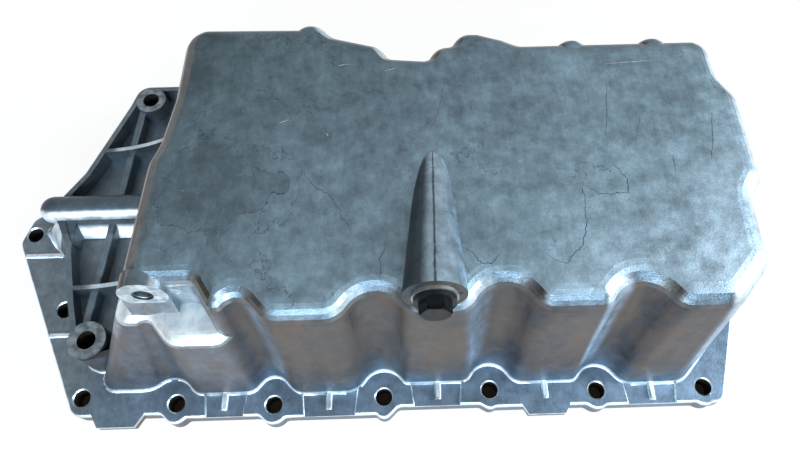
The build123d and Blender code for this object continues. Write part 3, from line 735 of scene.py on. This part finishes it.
@dataclass
class FootCove:
    """The small round cast where each wall rises from the flange. It catches a thin line of
    light all the way round the sump, which the casting's colour also paints near-white."""

    name: str = "foot_cove"
    radius_mm: float = 1.5
    steps: int = 4
    levels_mm: tuple[float, float] = (10.8, 12.0)
    least_wall_mm: float = 4.0
    most_wall_mm: float = 200.0
    hem_mm: float = 0.04
    grid_mm: float = 0.01
    level_slack_mm: float = 0.05
    least_share: float = 0.55

    def key(self, point: Vector) -> tuple[int, int, int]:
        """Returns a point as whole steps of the grid, to match split vertices."""
        return tuple(round(value / (self.grid_mm * MM)) for value in point)

    def on_level(self, point: Vector) -> bool:
        """Tells whether a point lies on the flange's upper face."""
        return any(abs(point.z - level * MM) < self.level_slack_mm * MM for level in self.levels_mm)

    def feet(self) -> list[tuple[Any, Any, Vector]]:
        """Finds every edge between the flange's upper face and a wall.

        Returns:
            The two ends' keys and the wall's normal, for each edge.
        """
        mesh = frame["nodes"]["oil_pan"].data
        flats = set()
        walls = {}
        for face in mesh.polygons:
            points = [mesh.vertices[index].co for index in face.vertices]
            sides = [(points[index - 1], points[index]) for index in range(len(points))]
            is_flat = face.normal.z > LEVEL and self.on_level(face.center)
            height = max(point.z for point in points) - min(point.z for point in points)
            is_wall = self.least_wall_mm * MM < height < self.most_wall_mm * MM
            is_wall = is_wall and -0.05 < face.normal.z < 0.6
            for start, end in sides:
                if self.on_level(start) and self.on_level(end) and (is_flat or is_wall):
                    pair = frozenset((self.key(start), self.key(end)))
                    if is_flat:
                        flats.add(pair)
                    elif len(pair) == 2 and face.center.z > start.z:
                        walls[pair] = face.normal.copy()
        return [(*sorted(pair), normal) for pair, normal in walls.items() if pair in flats]

    def build(self, cast: bpy.types.Material) -> None:
        """Lays the cove along every foot.

        Args:
            cast: the finish of the casting.
        """
        feet = self.feet()
        leans: dict[Any, list[Vector]] = {}
        for first, second, normal in feet:
            leans.setdefault(first, []).append(normal)
            leans.setdefault(second, []).append(normal)
        points = []
        numbers = {}
        for corner, normals in leans.items():
            numbers[corner] = len(points)
            points += self.section(corner, normals)
        faces = []
        for first, second, _ in feet:
            a, b = numbers[first], numbers[second]
            faces += [(a + step, b + step, b + step + 1, a + step + 1)
                      for step in range(self.steps)]
        new_piece(self.name, points, faces, cast)

    def section(self, corner: tuple[int, int, int], normals: Sequence[Vector]) -> list[Vector]:
        """Places one cross-section of the cove.

        Args:
            corner: the foot's point, as a key.
            normals: the walls' normals there.

        Returns:
            Points from the flange up to the wall.
        """
        foot = Vector(corner) * self.grid_mm * MM
        mean = sum(normals, Vector()) / len(normals)
        out = Vector((mean.x, mean.y, 0.0)).normalized()
        first = Vector((normals[0].x, normals[0].y, 0.0)).normalized()
        share = max(self.least_share, out.dot(first))
        lean = mean.z / max(UPRIGHT, math.hypot(mean.x, mean.y))
        radius = self.radius_mm * MM
        points = []
        for step in range(self.steps + 1):
            turn = math.pi / 2 * step / self.steps
            away = (radius - radius * math.sin(turn)) / share
            rise = radius - radius * math.cos(turn)
            hem = self.hem_mm * MM
            points.append(foot + out * (away - rise * lean + hem) + Vector((0, 0, rise + hem)))
        return points


@dataclass
class SumpMarks:
    """Lines on the flat sump bottom: tide lines of dried oil, smears and bright scratches."""

    level_mm: float = 120.0
    lift_mm: float = 0.05
    step_mm: float = 1.2
    seed: int = 7
    tide_lines: tuple[tuple[Flat, ...], ...] = (
        ((109.4, -21.6), (108.6, -43.5), (104.3, -56.4), (97.4, -64.8), (90.6, -63.6),
         (86.3, -60.9)),
        ((65.4, -58.8), (60.3, -64.1), (55.7, -63.5), (51.5, -57.3), (49.4, -54.2)),
        ((11.8, -53.5), (8.0, -60.0), (9.4, -69.4)),
        ((-30.3, -11.4), (-17.5, -23.2), (-10.8, -33.3), (-4.8, -47.8)),
        ((109.0, -24.4), (119.7, -28.6), (131.6, -30.7), (131.2, -19.4), (126.0, -11.7)),
        ((-59.8, 40.2), (-50.0, 37.3), (-40.3, 26.6), (-35.9, 15.1)),
    )
    smears: tuple[tuple[Flat, ...], ...] = (
        ((44.7, 42.3), (40.1, 22.8), (35.4, 10.4)),
        ((183.5, 17.0), (179.8, -0.3), (176.5, -12.1)),
        ((157.5, -8.6), (156.4, -18.5)),
        ((131.4, 36.2), (128.7, 20.0), (125.5, 3.8)),
        ((145.1, 14.4), (140.5, 0.9)),
    )
    scratches: tuple[tuple[Flat, ...], ...] = (
        ((-43.2, 16.6), (-37.7, 18.9)),
        ((-18.2, 10.2), (-17.1, 8.3)),
        ((-13.2, 53.7), (-6.7, 54.8)),
        ((12.4, 49.4), (19.0, 51.3)),
        ((132.1, 50.5), (160.6, 52.4)),
        ((79.3, -10.2), (80.4, -9.7)),
        ((170.4, -11.9), (171.6, -11.4)),
    )

    def resampled(self, line: Sequence[Flat]) -> list[Vector]:
        """Returns points at even steps along a line.

        Args:
            line: its corners, in millimetres.
        """
        points = []
        for start, end in zip(line, line[1:]):
            a, b = Vector(start), Vector(end)
            count = max(2, round((b - a).length / self.step_mm))
            points += [a.lerp(b, index / count) for index in range(count)]
        return points + [Vector(line[-1])]

    def ribbon(self, line: Sequence[Flat], width_mm: float, jitter_mm: float,
               dice: random.Random) -> list[tuple[Vector, Vector]]:
        """Turns a line into the two sides of a ribbon of uneven width.

        Args:
            line: its corners, in millimetres.
            width_mm: its greatest width.
            jitter_mm: how far its points stray.
            dice: the source of chance.

        Returns:
            Pairs of points, in metres.
        """
        points = self.resampled(line)
        wander = Vector((0.0, 0.0))
        pairs = []
        level = (self.level_mm + self.lift_mm) * MM
        for index, point in enumerate(points):
            ahead = points[min(index + 1, len(points) - 1)] - points[max(index - 1, 0)]
            side = Vector((-ahead.y, ahead.x)).normalized()
            wander = wander * 0.8 + Vector((dice.gauss(0, jitter_mm), dice.gauss(0, jitter_mm)))
            taper = math.sin(math.pi * (index + 0.6) / (len(points) + 0.2)) ** 0.5
            half = width_mm / 2 * taper * dice.uniform(0.45, 1.0)
            centre = point + wander
            left, right = centre + side * half, centre - side * half
            pairs.append((Vector((*(left * MM), level)), Vector((*(right * MM), level))))
        return pairs

    def build(self) -> None:
        """Builds one piece for each kind of mark."""
        kinds = {
            Stroke.TIDE_LINE: (self.tide_lines, 0.6, 0.42,
                               Deposit("dried_oil_tide_line", "2f3a41", "5b6b75", 0.5, 0.5)),
            Stroke.SMEAR: (self.smears, 0.55, 0.12,
                           Deposit("oil_smear", "3e4a52", "66747e", 0.6, 0.45)),
            Stroke.SCRATCH: (self.scratches, 0.4, 0.08,
                             Deposit("fresh_scratch", "f0f4f6", "b8c4cc", 0.8, 0.3)),
        }
        dice = random.Random(self.seed)
        for stroke, (lines, width, jitter, finish) in kinds.items():
            points: list[Vector] = []
            faces = []
            for line in lines:
                base = len(points)
                pairs = self.ribbon(line, width, jitter, dice)
                points += [point for pair in pairs for point in pair]
                faces += [(base + 2 * index, base + 2 * index + 1, base + 2 * index + 3,
                           base + 2 * index + 2) for index in range(len(pairs) - 1)]
            new_piece(stroke.value + "s", points, faces, finish.material())


@dataclass
class PortThread:
    """The fine thread cut in the side port."""

    crest_mm: float = 4.45
    root_mm: float = 4.98
    pitch_mm: float = 1.0
    turns: int = 9
    steps: int = 36
    inset_mm: float = 0.8
    half_length_mm: float = 9.0

    def build(self, middle: Vector, axis: Vector) -> None:
        """Winds the thread into the hole.

        Args:
            middle: the middle of the hole's thread.
            axis: the way that the hole looks.
        """
        mouth = middle + axis * self.half_length_mm * MM
        side = Vector((1.0, 0.0, 0.0))
        up = axis.cross(side)
        points = []
        profile = ((self.root_mm, -0.5), (self.crest_mm, 0.0), (self.root_mm, 0.5))
        for index in range(self.turns * self.steps + 1):
            angle = 2 * math.pi * index / self.steps
            ray = side * math.cos(angle) + up * math.sin(angle)
            depth = self.inset_mm + self.pitch_mm * index / self.steps
            for radius, ahead in profile:
                along = depth + ahead * self.pitch_mm
                points.append(mouth - axis * along * MM + ray * radius * MM)
        faces = []
        for index in range(self.turns * self.steps):
            a, b = 3 * index, 3 * index + 3
            faces += [(a, b, b + 1, a + 1), (a + 1, b + 1, b + 2, a + 2)]
        new_piece("port_thread", points, faces, FacedAluminium().material())


@dataclass
class RidgeFillet:
    """The sloping web cast along the front of the half-round ridge on the shelf."""

    left_mm: float = -193.0
    right_mm: float = -128.0
    back_mm: float = 8.0
    top_mm: float = 43.0
    front_mm: float = -2.5
    foot_mm: float = 27.0
    steps: int = 24

    def build(self, cast: bpy.types.Material) -> None:
        """Builds the web.

        Args:
            cast: the finish of the casting.
        """
        points = []
        for index in range(self.steps + 1):
            x = self.left_mm + (self.right_mm - self.left_mm) * index / self.steps
            for y, z in ((self.front_mm, self.foot_mm), (self.back_mm, self.top_mm),
                         (self.back_mm, self.foot_mm)):
                points.append(Vector((x, y, z)) * MM)
        faces = [(0, 1, 2), tuple(3 * self.steps + k for k in (2, 1, 0))]
        for index in range(self.steps):
            a, b = 3 * index, 3 * index + 3
            faces += [(a, b, b + 1, a + 1), (a + 1, b + 1, b + 2, a + 2)]
        new_piece("ridge_web", points, faces, cast)


@dataclass
class Studio:
    """Pale floor, soft lights and the camera."""

    floor_colour: str = "f2f2f2"
    floor_size: float = 6.0
    floor_glow: float = 0.9
    world_strength: float = 0.55
    disc_colour: str = "5a5048"
    disc_radius_mm: float = 5.2
    disc_level_mm: float = 0.3
    disc_corners: int = 32
    aim: Point = (0.0, 0.0, 0.06)
    sensor_mm: float = 36.0
    lens: float = 30.07
    shift: Flat = (-0.0249, -0.048)
    tilt: Point = (28.55, 0.0, -1.8)
    from_washer: Point = (-0.0097, -0.09815, 0.28034)

    def build(self, holes: Sequence[Flat]) -> None:
        """Builds floor, world, lamps and camera.

        Args:
            holes: the middle of each upright hole, which the floor lies dark under.
        """
        self.floor()
        for index, (x, y) in enumerate(holes):
            self.shadow(f"hole_shadow_{index}", x, y)
        self.world()
        self.lamp("front_softbox", (0.0, -1.6, 0.95), (1.6, 0.5), 48.0, (0.72, 0.88, 1.0))
        self.lamp("right_softbox", (1.5, -0.2, 0.8), (0.5, 1.2), 34.0, (0.80, 0.92, 1.0))
        self.camera()

    def floor(self) -> None:
        """Lays the floor under the pan."""
        shade = ShaderTree("pale_floor")
        path = shade.add("ShaderNodeLightPath").outputs
        seen = shade.add("ShaderNodeMath", {"operation": "MAXIMUM"},
                         i0=path["Is Camera Ray"], i1=path["Is Glossy Ray"])
        seen = shade.add("ShaderNodeMath", {"operation": "MAXIMUM"},
                         i0=seen.outputs[0], i1=path["Is Transmission Ray"])
        paint = shade.add("ShaderNodeBsdfDiffuse", Color=linear(self.floor_colour))
        glow = shade.add("ShaderNodeEmission", Color=linear("ffffff"), Strength=1.0)
        amount = shade.add("ShaderNodeMath", {"operation": "MULTIPLY"}, i0=seen.outputs[0],
                           i1=self.floor_glow)
        both = shade.add("ShaderNodeMixShader", i0=amount.outputs[0], i1=paint.outputs[0],
                         i2=glow.outputs[0])
        half = self.floor_size / 2
        corners = [(-half, -half, 0.0), (half, -half, 0.0), (half, half, 0.0), (-half, half, 0.0)]
        self.stage_piece("floor", corners, [(0, 1, 2, 3)], shade.finish(both))

    def shadow(self, name: str, x: float, y: float) -> None:
        """Lays a dark disc on the floor under one hole.

        Args:
            name: the disc's name.
            x: its middle, in metres.
            y: its middle, in metres.
        """
        shade = bpy.data.materials.get("floor_in_shadow")
        if shade is None:
            tree = ShaderTree("floor_in_shadow")
            paint = tree.add("ShaderNodeBsdfDiffuse", Color=linear(self.disc_colour))
            shade = tree.finish(paint)
        radius = self.disc_radius_mm * MM
        angles = [2 * math.pi * turn / self.disc_corners for turn in range(self.disc_corners)]
        points = [(x + radius * math.cos(angle), y + radius * math.sin(angle),
                   self.disc_level_mm * MM) for angle in angles]
        self.stage_piece(name, points, [tuple(range(self.disc_corners))], shade)

    def stage_piece(self, name: str, points: Sequence[Point], faces: Sequence[Any],
                    material: bpy.types.Material) -> None:
        """Adds a flat piece that isn't part of the object.

        Args:
            name: the piece's name.
            points: its corners, in metres.
            faces: vertex numbers of each face.
            material: its finish.
        """
        mesh = bpy.data.meshes.new(name)
        mesh.from_pydata(points, [], faces)
        mesh.materials.append(material)
        piece = bpy.data.objects.new(name, mesh)
        bpy.context.scene.collection.objects.link(piece)

    def world(self) -> None:
        """Lights the pan evenly from all round."""
        world = bpy.data.worlds.new("studio")
        bpy.context.scene.world = world
        world.use_nodes = True
        background = world.node_tree.nodes["Background"].inputs
        background["Color"].default_value = linear("ffffff")
        background["Strength"].default_value = self.world_strength

    def lamp(self, name: str, place: Point, size: Flat, power: float, colour: Point) -> None:
        """Adds a soft rectangular lamp that looks at the pan.

        Args:
            name: the lamp's name.
            place: where it hangs, in metres.
            size: its width and height.
            power: in watts.
            colour: its linear colour.
        """
        data = bpy.data.lights.new(name, "AREA")
        data.shape = "RECTANGLE"
        data.size, data.size_y = size
        data.energy = power
        data.color = colour
        lamp = bpy.data.objects.new(name, data)
        lamp.location = place
        aim = Vector(self.aim) - Vector(place)
        lamp.rotation_euler = aim.to_track_quat("-Z", "Y").to_euler()
        bpy.context.scene.collection.objects.link(lamp)

    def camera(self) -> None:
        """Places the camera relative to the drain washer."""
        low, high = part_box("sealing_washer")
        washer = (Vector(low) + Vector(high)) / 2
        data = bpy.data.cameras.new("camera")
        data.lens = self.lens
        data.sensor_width = self.sensor_mm
        data.shift_x, data.shift_y = self.shift
        data.clip_start = 0.01
        camera = bpy.data.objects.new("camera", data)
        camera.location = washer + Vector(self.from_washer)
        camera.rotation_euler = [math.radians(angle) for angle in self.tilt]
        bpy.context.scene.collection.objects.link(camera)
        bpy.context.scene.camera = camera


def main() -> None:
    """Builds the scene."""
    logging.basicConfig(level=logging.INFO)
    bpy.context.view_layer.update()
    cast = StainedCastingWithPaintedLight().material()
    casting = Casting()
    casting.build(cast)
    dress("drain_plug", BlackenedSteel().material())
    dress("sealing_washer", TurnedWasher().material())
    FootCove().build(cast)
    FootCove(name="pad_step_cove", radius_mm=0.8, steps=2, least_wall_mm=0.9,
             most_wall_mm=3.0).build(cast)
    RidgeFillet().build(cast)
    SumpMarks().build()
    PortThread().build(*casting.port())
    Studio().build(casting.holes())
    bpy.context.scene.view_settings.view_transform = "Standard"


if __name__ == "__main__":
    main()
